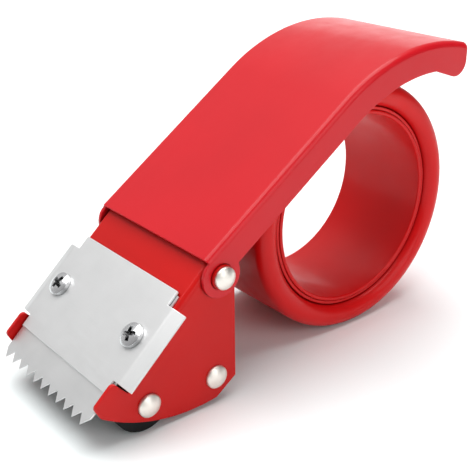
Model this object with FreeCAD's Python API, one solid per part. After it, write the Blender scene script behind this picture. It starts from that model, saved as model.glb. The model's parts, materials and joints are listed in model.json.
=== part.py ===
"""Hand-held packing-tape dispenser: a sheet-steel head with a serrated blade, a tape hub on a
side arm, two rollers and a hinged handle. Millimetres, +Z up.

The cutting edge points to -X and the open side of the hub to -Y. The tool stands on its hub and
its front roller. The origin is on the standing surface, under the middle of its length.
"""
import FreeCAD
import Part
import math
import os

from FreeCAD import Vector

# ---- tape hub ----
hub_radius = 37.5          # a 76 mm tape core slides over it
hub_wall = 1.2
hub_front = -13.0          # y where the outer wall turns into the rounded front
sleeve_bore = 28.0         # radius of the open centre
sleeve_wall = 1.2
sleeve_lip = 0.3           # the sleeve stands out from its retainer
rolled_rim = 1.0           # the sleeve's end, rolled over behind the arm
retainer_width = 1.0
retainer_wall = 1.0
hub_washer_thickness = 0.5
hub_washer_wall = 1.3
hub_end_play = 0.15
hub_back_gap = 1.5         # between the ring and the arm

# ---- head: one folded sheet with two cheeks and the hub arm ----
pivot_height = 37.5        # handle pivot above the floor
throat = 45.5              # between the cheeks
sheet = 1.0
plate_slope = 42.0         # blade seat, degrees above the floor
plate_rise = 4.9           # blade seat above the handle pivot, square to the seat
plate_back = 3.0           # the seat reaches this far behind the pivot
plate_front = 36.2         # and this far ahead of it, along the slope
fold_radius = 1.8          # outside radius of the sheet folds
fold_depth = 3.0           # the folds reach this far down into the cheeks
cheek_behind = 4.9         # rear edge of the cheeks, behind the pivot
cheek_foot_gap = 1.9       # cheeks above the floor
chamfer_run = 6.3          # lower rear corner of the cheeks
chamfer_rise = 4.4
nose_ahead = 0.9           # lower front corner of the cheeks, past the hooks' front
nose_under = 0.9           # and under the seat
nose_sag = 3.4             # the curved bottom stands out this far from its chord
hook_rise = 1.4            # hooks above the clamp plate
hook_length = 7.6
hook_round = 1.3
relief_gap = 0.4           # slit between a fold and a hook
arm_inset = 1.0            # round end of the arm, inside the hub's outline
arm_foot_rise = 9.0        # arm's lower edge above the rear corner of the foot
dish_depth = 7.0           # the round end is pressed in toward the tape
dish_margin = 0.3          # flat edge left round the dish
dish_land = 1.3            # flat floor of the dish, past the sleeve's rolled rim

# ---- handle: a folded channel, straight, then curved under the palm ----
handle_slope = 34.5
handle_clearance = 1.025   # between the hub and the sheet over it
handle_past_hub = 8.53     # the straight part goes on this far past the hub
handle_rise = 6.9          # handle's top above the pivot, square to the slope
handle_nose = 0.6          # front edge ahead of the pivot
handle_side_gap = 0.25     # between the ears and the cheeks
crest_radius = 58.0
crest_turn = 49.0
flange_depth = 8.1
flange_turn = 36.5         # the flange keeps its depth this far round the crest
lobe_radius = 4.2          # rounded lower corner at the tail
lobe_drop = 4.85           # its centre under the tail's top edge
ear_radius = 5.8

# ---- fasteners and pivots ----
journal_diameter = 6.7
journal_fit = 0.05
journal_proud = 0.9        # collar beyond the ear's outer face
pivot_head_diameter = 6.1
rivet_diameter = 4.0
rivet_fit = 0.04
rivet_rim = 0.7
rivet_dome = 1.2
rivet_tail_diameter = 6.0
rivet_tail_height = 0.9

# ---- rollers ----
front_roller_radius = 8.6
front_roller_gap = 1.59    # between the tyre and the seat's underside
tyre_wall = 3.1
tyre_round = 0.6
rear_axle_ahead = 1.7      # ahead of the pivot
rear_axle_height = 8.4
rear_roller_radius = 4.5
axle_head_diameter = 6.4
roller_fit = 0.05
roller_end_play = 0.1
washer_thickness = 0.5
washer_diameter = 7.6

# ---- blade and clamp, measured along the seat from the pivot ----
blade_thickness = 0.6
blade_back = 10.4
blade_side_gap = 0.75      # least gap between the blade and each cheek
tooth_tip = 49.2
tooth_pitch = 4.0
tooth_depth = 2.7
clamp_thickness = 0.8
clamp_back = 9.5
clamp_front = 39.7
clamp_side_gap = 1.2       # between the plate's narrow ends and the cheeks
wing_back = 13.6           # the bent wings start this far along the seat
wing_front = 36.0
wing_inset = 0.35          # bend line, in from the cheeks' outer face
wing_length = 3.4          # flat length past the bend
wing_bend = 22.0           # degrees
wing_radius = 3.0          # outside of the bend
screw_behind_axle = 11.5   # clear of the tyre under the seat
screw_inset = 4.75         # from the cheeks
screw_diameter = 3.5
screw_clearance = 0.15
screw_head_diameter = 6.6
screw_rim = 1.1
screw_dome = 1.0
screw_turns = (24.0, 70.0)
screw_tail = 0.9
recess_width = 0.95
recess_span = 3.9
recess_depth = 1.4
nut_flats = 6.0
nut_thickness = 2.4
nut_washer_thickness = 0.5

# ---- places that follow; the hub axis is the working origin until the parts are written ----
cheek_in = throat / 2
cheek_out = cheek_in + sheet
ear_in = cheek_out + handle_side_gap
ear_out = ear_in + sheet
floor = -hub_radius
along_handle = Vector(math.cos(math.radians(handle_slope)), 0, math.sin(math.radians(handle_slope)))
off_handle = Vector(-along_handle.z, 0, along_handle.x)
hub_off = handle_rise - sheet - handle_clearance - hub_radius
pivot_down = hub_radius - pivot_height
pivot_ahead = (pivot_down * along_handle.x - hub_off) / along_handle.z
pivot = Vector(-pivot_ahead, 0, -pivot_down)
handle_straight = -pivot.dot(along_handle) + handle_past_hub
cheek_back = pivot_ahead - cheek_behind
rear_axle = Vector(pivot.x - rear_axle_ahead, 0, floor + rear_axle_height)
down_seat = Vector(-math.cos(math.radians(plate_slope)), 0, -math.sin(math.radians(plate_slope)))
off_seat = Vector(down_seat.z, 0, -down_seat.x)
seat_under = plate_rise - sheet
blade_top = plate_rise + blade_thickness
clamp_top = blade_top + clamp_thickness
hook_top = clamp_top + hook_rise
hook_back = plate_front + relief_gap
hook_front = hook_back + hook_length
axle_off = seat_under - front_roller_gap - front_roller_radius
axle_rise = front_roller_radius - pivot_height
front_axle = pivot + Vector((axle_off - axle_rise * off_seat.z) / off_seat.x, 0, axle_rise)
screw_along = (front_axle - pivot).dot(down_seat) - screw_behind_axle
tooth_count = int((throat - 2 * blade_side_gap) / tooth_pitch)
clamp_narrow = throat - 2 * clamp_side_gap
screw_spacing = throat - 2 * screw_inset
arm_radius = hub_radius - arm_inset
sleeve_radius = sleeve_bore + sleeve_wall
dish_rim = arm_radius - dish_margin
dish_floor = sleeve_radius + rolled_rim + dish_land
dish_inside = cheek_in - dish_depth
ring_bore = sleeve_radius + journal_fit
ring_inner_back = dish_inside - hub_washer_thickness - hub_end_play
retainer_back = hub_front - hub_end_play
roller_half = cheek_in - washer_thickness - roller_end_play
overrun = 1.0              # cutting shapes reach this far past what they cut


# ---- geometry helpers ----
def on_seat(along, off):
    """Point of the side view: along the blade seat from the pivot, and up off it."""
    return pivot + down_seat * along + off_seat * off


def on_handle(along, off):
    """Point of the side view: along the handle from the pivot, and up off it."""
    return pivot + along_handle * along + off_handle * off


def polar(centre, radius, degrees):
    """Point at an angle round a centre, in the side view."""
    turn = math.radians(degrees)
    return centre + Vector(radius * math.cos(turn), 0, radius * math.sin(turn))


def bearing(centre, point):
    """Angle of a point round a centre, in the side view."""
    return math.degrees(math.atan2(point.z - centre.z, point.x - centre.x))


def tangent_point(outside, centre, radius, side):
    """Where a line from an outside point touches a circle; side picks the +1 or -1 turn."""
    swing = math.degrees(math.acos(radius / (centre - outside).Length))
    return polar(centre, radius, bearing(centre, outside) + side * swing)


def line(first, last):
    return Part.makeLine(first, last)


def arc(first, middle, last):
    return Part.Arc(first, middle, last).toShape()


def closed(points):
    """Edges of a closed polygon."""
    return [line(a, b) for a, b in zip(points, points[1:] + points[:1])]


def slab(edges, y_low, y_high):
    """Side-view outline extruded across the width."""
    face = Part.Face(Part.Wire(edges))
    face.translate(Vector(0, y_low, 0))
    return face.extrude(Vector(0, y_high - y_low, 0))


def disc(centre, radius, y_low, y_high):
    """Cylinder across the width."""
    return Part.makeCylinder(radius, y_high - y_low, centre + Vector(0, y_low, 0), Vector(0, 1, 0))


def tube(centre, outer, inner, y_low, y_high):
    return disc(centre, outer, y_low, y_high).cut(disc(centre, inner, y_low - overrun, y_high + overrun))


def turned(edges):
    """Solid of revolution about the hub axis; a point's x is its radius."""
    return Part.Face(Part.Wire(edges)).revolve(Vector(), Vector(0, 1, 0), 360)


def flat_ring(profile):
    """Ring about the hub axis from (radius, y) corners."""
    return turned(closed([Vector(radius, y, 0) for radius, y in profile]))


def mirrored(shape):
    """Copy on the other side of the middle plane."""
    return shape.mirror(Vector(), Vector(0, 1, 0))


def both_sides(shape):
    return Part.makeCompound([shape, mirrored(shape)])


def aimed(shape, base, direction):
    """Move a shape made along +Z so that it stands on a point along a direction."""
    shape.Placement = FreeCAD.Placement(base, FreeCAD.Rotation(Vector(0, 0, 1), direction))
    return shape


def seat_block(along_low, along_high, half_width, off_low, off_high):
    """Block square to the blade seat."""
    corners = [
        on_seat(along_low, off_low),
        on_seat(along_high, off_low),
        on_seat(along_high, off_high),
        on_seat(along_low, off_high),
    ]
    return slab(closed(corners), -half_width, half_width)


def seat_cylinder(across, diameter, off_low, off_high):
    """Cylinder square to the blade seat, on the line of the screws."""
    base = on_seat(screw_along, off_low) + Vector(0, across, 0)
    return Part.makeCylinder(diameter / 2, off_high - off_low, base, off_seat)


def rounded(shape, radius, wanted):
    """Fillet the edges that pass a test."""
    return shape.makeFillet(radius, [edge for edge in shape.Edges if wanted(edge)])


def round_corners(shape, radius, corners):
    """Fillet the crosswise edges at given points of the side view."""
    def wanted(edge):
        ends = [vertex.Point for vertex in edge.Vertexes]
        flat = [Vector(end.x, 0, end.z) for end in ends]
        return any(all((end - corner).Length < 0.01 for end in flat) for corner in corners)
    return rounded(shape, radius, wanted)


def long_edges(half_width, on_surface):
    """Test for edges that run along the side at half_width on a surface."""
    def wanted(edge):
        ends = [vertex.Point for vertex in edge.Vertexes]
        return all(abs(abs(end.y) - half_width) < 0.01 and on_surface(end) for end in ends)
    return wanted


def at_seat_level(off):
    """Test for points at a height off the blade seat."""
    return lambda point: abs((point - pivot).dot(off_seat) - off) < 0.01


def seat_channel():
    """The blade seat with the fold down into each cheek."""
    bottom = plate_rise - sheet - fold_depth
    outside = seat_block(-plate_back, plate_front, cheek_out, bottom, plate_rise)
    outside = rounded(outside, fold_radius, long_edges(cheek_out, at_seat_level(plate_rise)))
    inside = seat_block(-plate_back - overrun, plate_front + overrun, cheek_in,
                        bottom - overrun, seat_under)
    inside = rounded(inside, fold_radius - sheet, long_edges(cheek_in, at_seat_level(seat_under)))
    return outside.cut(inside)


def dome(radius, rim, height):
    """Round head standing on z = 0: a short rim under a spherical cap."""
    sphere = (radius ** 2 + height ** 2) / (2 * height)
    centre = rim + height - sphere
    lean = math.asin(radius / sphere) / 2
    shoulder = Vector(sphere * math.sin(lean), 0, centre + sphere * math.cos(lean))
    top = Vector(0, 0, rim + height)
    edges = [
        line(Vector(), Vector(radius, 0, 0)),
        line(Vector(radius, 0, 0), Vector(radius, 0, rim)),
        arc(Vector(radius, 0, rim), shoulder, top),
        line(top, Vector()),
    ]
    return Part.Face(Part.Wire(edges)).revolve(Vector(), Vector(0, 0, 1), 360)


# ---- head ----
def cheek_outline():
    """A cheek from its top rear corner, down by the floor and up to the hook."""
    top_rear = on_seat(-plate_back, plate_rise - fold_depth)
    rear_top = Vector(-cheek_back, 0, pivot.z)
    foot = floor + cheek_foot_gap
    rear_low = Vector(-cheek_back, 0, foot + chamfer_rise)
    foot_rear = Vector(-cheek_back - chamfer_run, 0, foot)
    nose_low = on_seat(hook_front + nose_ahead, plate_rise - nose_under)
    chord = nose_low - foot_rear
    outward = Vector(-chord.z, 0, chord.x).normalize()
    corners = [
        nose_low,
        on_seat(hook_front, hook_top),
        on_seat(hook_back, hook_top),
        on_seat(hook_back, plate_rise - fold_depth),
        top_rear,
        rear_top,
        rear_low,
        foot_rear,
    ]
    sides = [line(a, b) for a, b in zip(corners, corners[1:])]
    return sides + [arc(foot_rear, foot_rear + chord * 0.5 + outward * nose_sag, nose_low)]


def cheek(y_low, y_high):
    hook_corners = [on_seat(hook_back, hook_top), on_seat(hook_front, hook_top)]
    return round_corners(slab(cheek_outline(), y_low, y_high), hook_round, hook_corners)


def hub_arm():
    """Arm in the plane of the far cheek, its round end dished to take the hub sleeve."""
    centre = Vector()
    upper = on_seat(-plate_back, plate_rise - fold_depth)
    lower = Vector(-cheek_back, 0, floor + cheek_foot_gap + chamfer_rise + arm_foot_rise)
    web = closed([
        Vector(upper.x, 0, lower.z),
        lower,
        tangent_point(lower, centre, arm_radius, 1),
        centre,
        tangent_point(upper, centre, arm_radius, -1),
        upper,
    ])
    flat = slab(web, cheek_in, cheek_out).fuse(disc(centre, arm_radius, cheek_in, cheek_out))
    hole = sleeve_radius + rivet_fit
    dish = flat_ring([
        (arm_radius, cheek_out),
        (dish_rim - sheet, cheek_out),
        (dish_floor - sheet, dish_inside + sheet),
        (hole, dish_inside + sheet),
        (hole, dish_inside),
        (dish_floor, dish_inside),
        (dish_rim, cheek_in),
        (arm_radius, cheek_in),
    ])
    return flat.cut(disc(centre, dish_rim, cheek_in - overrun, cheek_out + overrun)).fuse(dish)


def head_frame():
    """Folded seat, two cheeks and the arm in one piece of sheet, with its holes."""
    seat = seat_channel()
    near = cheek(-cheek_out, -cheek_in)
    far = cheek(cheek_in, cheek_out)
    frame = seat.fuse([near, far, hub_arm()]).removeSplitter()
    for centre in (pivot, front_axle, rear_axle):
        frame = frame.cut(disc(centre, rivet_diameter / 2 + rivet_fit, -ear_out, ear_out))
    return drilled(frame, seat_under, plate_rise)


def drilled(shape, off_low, off_high):
    """Cut the two screw holes through a layer of the seat."""
    for across in (-screw_spacing / 2, screw_spacing / 2):
        size = screw_diameter + 2 * screw_clearance
        shape = shape.cut(seat_cylinder(across, size, off_low - overrun, off_high + overrun))
    return shape


# ---- blade and clamp ----
def blade():
    """Flat serrated strip on the seat."""
    half = tooth_count * tooth_pitch / 2
    outline = [(blade_back, half), (blade_back, -half)]
    for tooth in range(tooth_count):
        edge = -half + tooth * tooth_pitch
        outline.append((tooth_tip - tooth_depth, edge))
        outline.append((tooth_tip, edge + tooth_pitch / 2))
    outline.append((tooth_tip - tooth_depth, half))
    corners = [on_seat(along, plate_rise) + Vector(0, across, 0) for along, across in outline]
    strip = Part.Face(Part.Wire(closed(corners))).extrude(off_seat * blade_thickness)
    return drilled(strip, plate_rise, blade_top)


def bent(radius, degrees):
    """Point of the clamp's cross-section, round the bend of a wing."""
    turn = math.radians(degrees)
    off = clamp_top - wing_radius + radius * math.cos(turn)
    return on_seat(wing_back, off) + Vector(0, cheek_out - wing_inset + radius * math.sin(turn), 0)


def winged_half():
    """Half of the clamp's middle length, with its wing bent down past the cheek."""
    turn = math.radians(wing_bend)
    reach = Vector(0, wing_length * math.cos(turn), 0) - off_seat * (wing_length * math.sin(turn))
    inner = wing_radius - clamp_thickness
    top_middle = on_seat(wing_back, clamp_top)
    low_middle = on_seat(wing_back, blade_top)
    top_tip = bent(wing_radius, wing_bend) + reach
    low_tip = bent(inner, wing_bend) + reach
    section = [
        line(top_middle, bent(wing_radius, 0)),
        arc(bent(wing_radius, 0), bent(wing_radius, wing_bend / 2), bent(wing_radius, wing_bend)),
        line(bent(wing_radius, wing_bend), top_tip),
        line(top_tip, low_tip),
        line(low_tip, bent(inner, wing_bend)),
        arc(bent(inner, wing_bend), bent(inner, wing_bend / 2), bent(inner, 0)),
        line(bent(inner, 0), low_middle),
        line(low_middle, top_middle),
    ]
    return Part.Face(Part.Wire(section)).extrude(down_seat * (wing_front - wing_back))


def clamp_plate():
    """Cover over the blade with a wing past each cheek and a notch for each hook."""
    lap = 1.0
    neck = seat_block(clamp_back, wing_back + lap, clamp_narrow / 2, blade_top, clamp_top)
    nose = seat_block(wing_front - lap, clamp_front, clamp_narrow / 2, blade_top, clamp_top)
    half = winged_half()
    plate = half.fuse([mirrored(half), neck, nose]).removeSplitter()
    return drilled(plate, blade_top, clamp_top)


def clamp_screw(across, turn):
    """Pan-head screw with a cross recess, down through the clamp, the blade and the seat."""
    tail = clamp_top - seat_under + nut_washer_thickness + nut_thickness + screw_tail
    head = dome(screw_head_diameter / 2, screw_rim, screw_dome)
    slot = Part.makeBox(recess_span, recess_width, recess_depth + overrun)
    floor_level = screw_rim + screw_dome - recess_depth
    slot.translate(Vector(-recess_span / 2, -recess_width / 2, floor_level))
    cross = slot.copy().rotate(Vector(), Vector(0, 0, 1), 90)
    shank = Part.makeCylinder(screw_diameter / 2, tail, Vector(0, 0, -tail))
    screw = head.fuse(shank).cut([slot, cross]).rotate(Vector(), Vector(0, 0, 1), turn)
    return aimed_copy(screw, across, clamp_top)


def clamp_nut(across):
    corners = [polar(Vector(), nut_flats / math.sqrt(3), 60 * side) for side in range(6)]
    flat = [Vector(corner.x, corner.z, 0) for corner in corners]
    nut = Part.Face(Part.Wire(closed(flat))).extrude(Vector(0, 0, nut_thickness))
    bore = Part.makeCylinder(screw_diameter / 2 + rivet_fit, nut_thickness)
    return aimed_copy(nut.cut(bore), across, seat_under - nut_washer_thickness - nut_thickness)


def nut_washer(across):
    size = screw_diameter + 2 * screw_clearance
    top = seat_under
    bottom = top - nut_washer_thickness
    outer = seat_cylinder(across, washer_diameter, bottom, top)
    return outer.cut(seat_cylinder(across, size, bottom - overrun, top + overrun))


def aimed_copy(shape, across, off):
    """Stand a shape on the line of the screws at a height off the seat."""
    upright = FreeCAD.Rotation(Vector(0, 0, 1), off_seat)
    place = FreeCAD.Placement(on_seat(screw_along, off) + Vector(0, across, 0), upright)
    return shape.transformGeometry(place.toMatrix())


def pair(make):
    """The same fastener at both screws."""
    return Part.makeCompound([make(-screw_spacing / 2), make(screw_spacing / 2)])


# ---- handle ----
crest_start = 90 + handle_slope
crest_centre = on_handle(handle_straight, handle_rise - crest_radius)


def handle_outline():
    """Side view: the top line and crest, the tail's lobe, the flange edge and the ear."""
    front = on_handle(-handle_nose, handle_rise)
    crest_in = polar(crest_centre, crest_radius, crest_start)
    crest_middle = polar(crest_centre, crest_radius, crest_start - crest_turn / 2)
    tail = polar(crest_centre, crest_radius, crest_start - crest_turn)
    lobe = tail + Vector(-lobe_radius, 0, -lobe_drop)
    inner = crest_radius - flange_depth
    flange_end = polar(crest_centre, inner, crest_start - flange_turn)
    flange_middle = polar(crest_centre, inner, crest_start - flange_turn / 2)
    flange_start = polar(crest_centre, inner, crest_start)
    lobe_end = tangent_point(flange_end, lobe, lobe_radius, 1)
    lobe_right = polar(lobe, lobe_radius, 0)
    lobe_middle = polar(lobe, lobe_radius, bearing(lobe, lobe_end) / 2)
    under_pivot = flange_depth - handle_rise
    ear_end = on_handle(math.sqrt(ear_radius ** 2 - under_pivot ** 2), -under_pivot)
    ear_start = on_handle(-handle_nose, math.sqrt(ear_radius ** 2 - handle_nose ** 2))
    ear_middle = on_handle(-ear_radius * math.cos(math.pi / 4), -ear_radius * math.sin(math.pi / 4))
    return [
        line(front, crest_in),
        arc(crest_in, crest_middle, tail),
        line(tail, lobe_right),
        arc(lobe_right, lobe_middle, lobe_end),
        line(lobe_end, flange_end),
        arc(flange_end, flange_middle, flange_start),
        line(flange_start, ear_end),
        arc(ear_end, ear_middle, ear_start),
        line(ear_start, front),
    ]


def handle_block(half_width, inset):
    """Block under the handle's top line, with the two long edges of its top rounded."""
    radius = crest_radius - inset
    level = handle_rise - inset
    past = 4.0
    front = on_handle(-handle_nose - past, level)
    crest_in = polar(crest_centre, radius, crest_start)
    crest_middle = polar(crest_centre, radius, crest_start - crest_turn / 2)
    tail_turn = crest_start - crest_turn
    tail = polar(crest_centre, radius, tail_turn)
    beyond = tail + polar(Vector(), past, tail_turn - 90)
    block = slab([
        line(front, crest_in),
        arc(crest_in, crest_middle, tail),
        line(tail, beyond),
        line(beyond, Vector(beyond.x, 0, floor)),
        line(Vector(beyond.x, 0, floor), Vector(front.x, 0, floor)),
        line(Vector(front.x, 0, floor), front),
    ], -half_width, half_width)

    def on_top(point):
        flat = Vector(point.x, 0, point.z)
        near_line = abs((flat - pivot).dot(off_handle) - level) < 0.01
        near_arc = abs((flat - crest_centre).Length - radius) < 0.01
        return near_line or near_arc or (flat - beyond).Length < 0.01

    return rounded(block, fold_radius - inset, long_edges(half_width, on_top))


def handle_shell():
    """Folded channel trimmed to its side outline, with a bearing hole in each ear."""
    channel = handle_block(ear_out, 0).cut(handle_block(ear_in, sheet))
    shell = channel.common(slab(handle_outline(), -ear_out - overrun, ear_out + overrun))
    hole = journal_diameter / 2 + journal_fit
    return shell.cut(disc(pivot, hole, -ear_out - overrun, ear_out + overrun))


# ---- pivots, axles and rollers ----
def pivot_collar():
    """Painted collar on the near cheek; the ear turns on it."""
    bore = rivet_diameter / 2 + rivet_fit
    return tube(pivot, journal_diameter / 2, bore, -ear_out - journal_proud, -cheek_out)


def pivot_rivet():
    """Domed rivet that holds the near collar to its cheek."""
    outer = -ear_out - journal_proud
    head = aimed(dome(pivot_head_diameter / 2, rivet_rim, rivet_dome),
                 pivot + Vector(0, outer, 0), Vector(0, -1, 0))
    tail = disc(pivot, rivet_tail_diameter / 2, -cheek_in, -cheek_in + rivet_tail_height)
    shank = disc(pivot, rivet_diameter / 2, outer, -cheek_in + rivet_tail_height)
    return head.fuse([shank, tail])


def axle(centre):
    """Plain shaft through both cheeks, headed over at each end."""
    near = aimed(dome(axle_head_diameter / 2, rivet_rim, rivet_dome),
                 centre + Vector(0, -cheek_out, 0), Vector(0, -1, 0))
    shaft = disc(centre, rivet_diameter / 2, -cheek_out, cheek_out)
    return shaft.fuse([near, mirrored(near)])


def end_washers(centre):
    bore = rivet_diameter / 2 + rivet_fit
    near = tube(centre, washer_diameter / 2, bore, -cheek_in, -cheek_in + washer_thickness)
    return both_sides(near)


def roller(centre, radius):
    """Roller body that turns on its axle."""
    return tube(centre, radius, rivet_diameter / 2 + roller_fit, -roller_half, roller_half)


def front_tyre():
    """Rubber tyre on the front roller's body, with rounded rims."""
    tyre = disc(front_axle, front_roller_radius, -roller_half, roller_half)
    tyre = rounded(tyre, tyre_round, lambda edge: len(edge.Vertexes) == 1)
    bore = front_roller_radius - tyre_wall + rivet_fit
    return tyre.cut(disc(front_axle, bore, -roller_half - overrun, roller_half + overrun))


# ---- hub ----
def hub_sleeve():
    """Fixed sleeve, rolled over behind the arm's dish; the hub ring turns on it."""
    behind = dish_inside + sheet
    return flat_ring([
        (sleeve_bore, retainer_back - retainer_width - sleeve_lip),
        (sleeve_radius, retainer_back - retainer_width - sleeve_lip),
        (sleeve_radius, behind),
        (sleeve_radius + rolled_rim, behind),
        (sleeve_radius + rolled_rim, behind + sleeve_wall),
        (sleeve_bore, behind + sleeve_wall),
    ])


def hub_retainer():
    """Ring pressed on the sleeve's open end, in the groove inside the bead."""
    inner = sleeve_radius + rivet_fit
    return tube(Vector(), inner + retainer_wall, inner, retainer_back - retainer_width, retainer_back)


def hub_washer():
    """Slip washer between the hub ring and the dish."""
    inner = sleeve_radius + rivet_fit
    front = dish_inside - hub_washer_thickness
    return tube(Vector(), inner + hub_washer_wall, inner, front, dish_inside)


def hub_ring():
    """Turning hub: outer wall, half-round front and inner bearing wall, hollow behind."""
    back = cheek_in - hub_back_gap
    bearing_wall = ring_bore + hub_wall
    bead_radius = (hub_radius - bearing_wall) / 2
    crest = Vector(hub_radius - bead_radius, hub_front - bead_radius, 0)
    edge = Vector(hub_radius, hub_front, 0)
    foot = Vector(bearing_wall, hub_front, 0)
    inner_edge = Vector(hub_radius - hub_wall, hub_front, 0)
    inner_foot = Vector(bearing_wall + hub_wall, hub_front, 0)
    outer_back = Vector(hub_radius, back, 0)
    inner_outer_back = Vector(hub_radius - hub_wall, back, 0)
    wall_start = Vector(bearing_wall, hub_front + hub_wall, 0)
    wall_end = Vector(bearing_wall, ring_inner_back, 0)
    bore_end = Vector(ring_bore, ring_inner_back, 0)
    bore_start = Vector(ring_bore, hub_front, 0)
    return turned([
        arc(foot, crest, edge),
        line(edge, outer_back),
        line(outer_back, inner_outer_back),
        line(inner_outer_back, inner_edge),
        arc(inner_edge, crest + Vector(0, hub_wall, 0), inner_foot),
        line(inner_foot, wall_start),
        line(wall_start, wall_end),
        line(wall_end, bore_end),
        line(bore_end, bore_start),
        line(bore_start, foot),
    ])


# ---- write ----
def build():
    """Every piece under its node name."""
    collar = pivot_collar()
    rivet = pivot_rivet()
    return {
        "head_frame": head_frame(),
        "blade": blade(),
        "clamp_plate": clamp_plate(),
        "clamp_screws": Part.makeCompound([
            clamp_screw(-screw_spacing / 2, screw_turns[0]),
            clamp_screw(screw_spacing / 2, screw_turns[1]),
        ]),
        "clamp_nuts": pair(clamp_nut),
        "clamp_nut_washers": pair(nut_washer),
        "handle_shell": handle_shell(),
        "pivot_collar_near": collar,
        "pivot_collar_far": mirrored(collar),
        "pivot_rivet_near": rivet,
        "pivot_rivet_far": mirrored(rivet),
        "front_axle": axle(front_axle),
        "front_axle_washers": end_washers(front_axle),
        "front_roller_core": roller(front_axle, front_roller_radius - tyre_wall),
        "front_roller_tyre": front_tyre(),
        "rear_axle": axle(rear_axle),
        "rear_axle_washers": end_washers(rear_axle),
        "rear_roller": roller(rear_axle, rear_roller_radius),
        "hub_sleeve": hub_sleeve(),
        "hub_retainer": hub_retainer(),
        "hub_washer": hub_washer(),
        "hub_ring": hub_ring(),
    }


def main():
    os.makedirs("parts", exist_ok=True)
    tip = on_seat(tooth_tip, blade_top)
    to_origin = Vector(-(hub_radius + tip.x) / 2, 0, hub_radius)
    for name, shape in build().items():
        shape.translate(to_origin)
        shape.exportStep("parts/" + name + ".step")
        box = shape.BoundBox
        print(name, len(shape.Solids), shape.isValid(), round(shape.Volume, 1),
              [round(v, 2) for v in (box.XMin, box.YMin, box.ZMin, box.XMax, box.YMax, box.ZMax)])


main()
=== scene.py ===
# %% [markdown]
# # A red packing-tape dispenser
# The tool is folded sheet steel under red enamel: a head that carries a toothed blade, a
# turning hub for the roll, and a hinged handle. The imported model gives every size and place.
# This lesson dresses it: it rounds each piece's edges as paint and tumbling do, adds what only
# the eye needs, and mixes a finish for every surface. Lengths are metres.

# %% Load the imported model
import bmesh
import bpy
import json
from math import acos, atan2, cos, degrees, pi, radians, sin, sqrt, tan
from mathutils import Matrix, Vector


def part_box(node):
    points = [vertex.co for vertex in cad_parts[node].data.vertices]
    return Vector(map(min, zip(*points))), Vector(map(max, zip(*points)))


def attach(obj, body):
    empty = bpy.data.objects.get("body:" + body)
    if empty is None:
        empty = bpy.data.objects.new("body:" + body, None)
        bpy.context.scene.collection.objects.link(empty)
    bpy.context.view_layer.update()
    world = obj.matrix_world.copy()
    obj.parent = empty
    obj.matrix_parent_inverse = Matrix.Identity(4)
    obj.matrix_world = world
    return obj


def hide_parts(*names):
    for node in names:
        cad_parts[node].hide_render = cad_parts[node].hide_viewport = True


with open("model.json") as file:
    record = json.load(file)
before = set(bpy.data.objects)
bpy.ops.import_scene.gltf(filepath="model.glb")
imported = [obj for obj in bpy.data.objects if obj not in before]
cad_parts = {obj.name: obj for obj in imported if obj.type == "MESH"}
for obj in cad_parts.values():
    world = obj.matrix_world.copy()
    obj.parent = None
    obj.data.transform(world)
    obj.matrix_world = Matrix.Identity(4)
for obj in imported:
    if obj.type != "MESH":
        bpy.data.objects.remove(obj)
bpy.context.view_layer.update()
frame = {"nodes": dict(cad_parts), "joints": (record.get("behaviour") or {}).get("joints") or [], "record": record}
scene = bpy.context.scene
places = {joint["name"]: Vector(joint["pos_m"]) for joint in frame["joints"]}
pivot = places["handle_hinge"]
hub_axis = places["hub_spin"]
mm = 0.001

# %% [markdown]
# ## Camera
# A hand tool is best seen from about an arm's length, from in front of the blade, a little
# above it and to one side. The camera stands at a point and is turned to a compass heading,
# then tipped down, so each of the three can be set by itself.

# %% Camera
camera_place = Vector((-0.1512, -0.1867, 0.1392))
heading = radians(-38.58)   # from straight along +Y, towards +X
tip_down = radians(24.12)
lean = radians(-0.5)
lens_data = bpy.data.cameras.new("camera")
lens_data.sensor_width = 36.0
lens_data.lens = 69.87
lens_data.shift_x = -0.0067
lens_data.shift_y = 0.0063
lens_data.clip_start = 0.01
camera = bpy.data.objects.new("camera", lens_data)
camera.location = camera_place
turn = Matrix.Rotation(heading, 3, "Z") @ Matrix.Rotation(pi / 2 - tip_down, 3, "X")
camera.rotation_euler = (turn @ Matrix.Rotation(lean, 3, "Z")).to_euler()
scene.collection.objects.link(camera)
scene.camera = camera
print("camera to hub, m:", round((hub_axis - camera_place).length, 3))

# %% [markdown]
# ## Floor and light
# The tool stands on white paper under large soft lamps, so its shadows are soft and lie close.
# The paper is a wide plain sheet, a touch cool to balance the red the tool throws on it. One
# broad lamp overhead makes the top of the handle the brightest red, a second in front fills the
# side that is seen, and a low one far behind skims over the handle, so its crest carries a pale
# band. A pale sky, brighter behind the tool, fills the rest and gives the bare metal something
# to mirror.

# %% Floor
paper_mesh = bpy.data.meshes.new("paper")
half = 3.0
paper_corners = [(-half, -half, 0), (half, -half, 0), (half, half, 0), (-half, half, 0)]
paper_mesh.from_pydata(paper_corners, [], [(0, 1, 2, 3)])
paper = bpy.data.objects.new("paper", paper_mesh)
scene.collection.objects.link(paper)
print("paper, m across:", 2 * half)

# %% Lamps and sky
def soft_lamp(name, place, aim, size, power):
    """Square white area lamp at a place, facing a point."""
    data = bpy.data.lights.new(name, "AREA")
    data.shape = "SQUARE"
    data.size = size
    data.energy = power
    lamp = bpy.data.objects.new(name, data)
    lamp.location = place
    lamp.rotation_euler = (Vector(aim) - Vector(place)).to_track_quat("-Z", "Y").to_euler()
    scene.collection.objects.link(lamp)
    return lamp


soft_lamp("overhead_lamp", (0.0, 0.25, 1.9), aim=(0, 0, 0.03), size=2.0, power=48.0)
soft_lamp("front_lamp", (0.05, -1.2, 0.6), aim=(0, 0, 0.04), size=1.0, power=6.8)
crest_lamp = soft_lamp("crest_lamp", (0.95, 0.98, 0.30), aim=(0, 0, 0.06), size=0.7, power=1.8)
crest_lamp.visible_camera = False

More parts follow.
